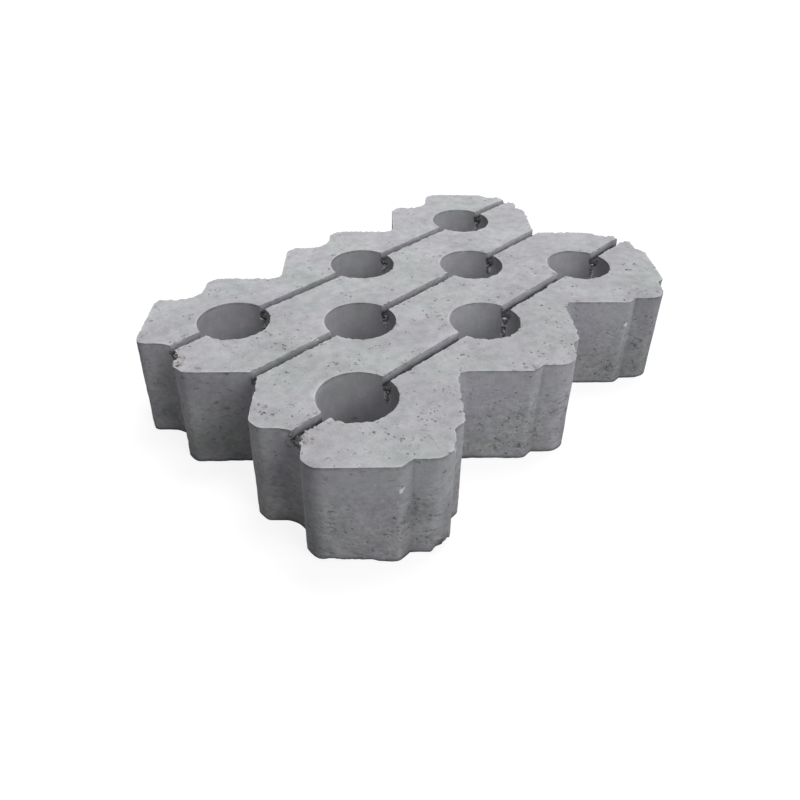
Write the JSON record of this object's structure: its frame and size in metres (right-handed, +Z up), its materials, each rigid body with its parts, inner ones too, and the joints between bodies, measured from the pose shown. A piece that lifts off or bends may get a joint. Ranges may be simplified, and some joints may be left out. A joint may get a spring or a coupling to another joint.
{
  "type": "grass paver",
  "caption": "Cast concrete grass paver with round planting holes in staggered rows, straight drainage grooves across the top and stepped sides that nest with neighbouring blocks.",
  "frame": {"origin": "the middle of the hole pattern, on the face that the block lies on", "axes": "+X along the drainage grooves, towards the end whose corners are lugs; +Y towards the notched long side; +Z up, out of the grooved top"},
  "size_m": [0.4145, 0.2801, 0.08],
  "materials": {
    "concrete": "matte"
  },
  "bodies": {
    "root": {"paver_block": "concrete"}
  },
  "joints": []
}
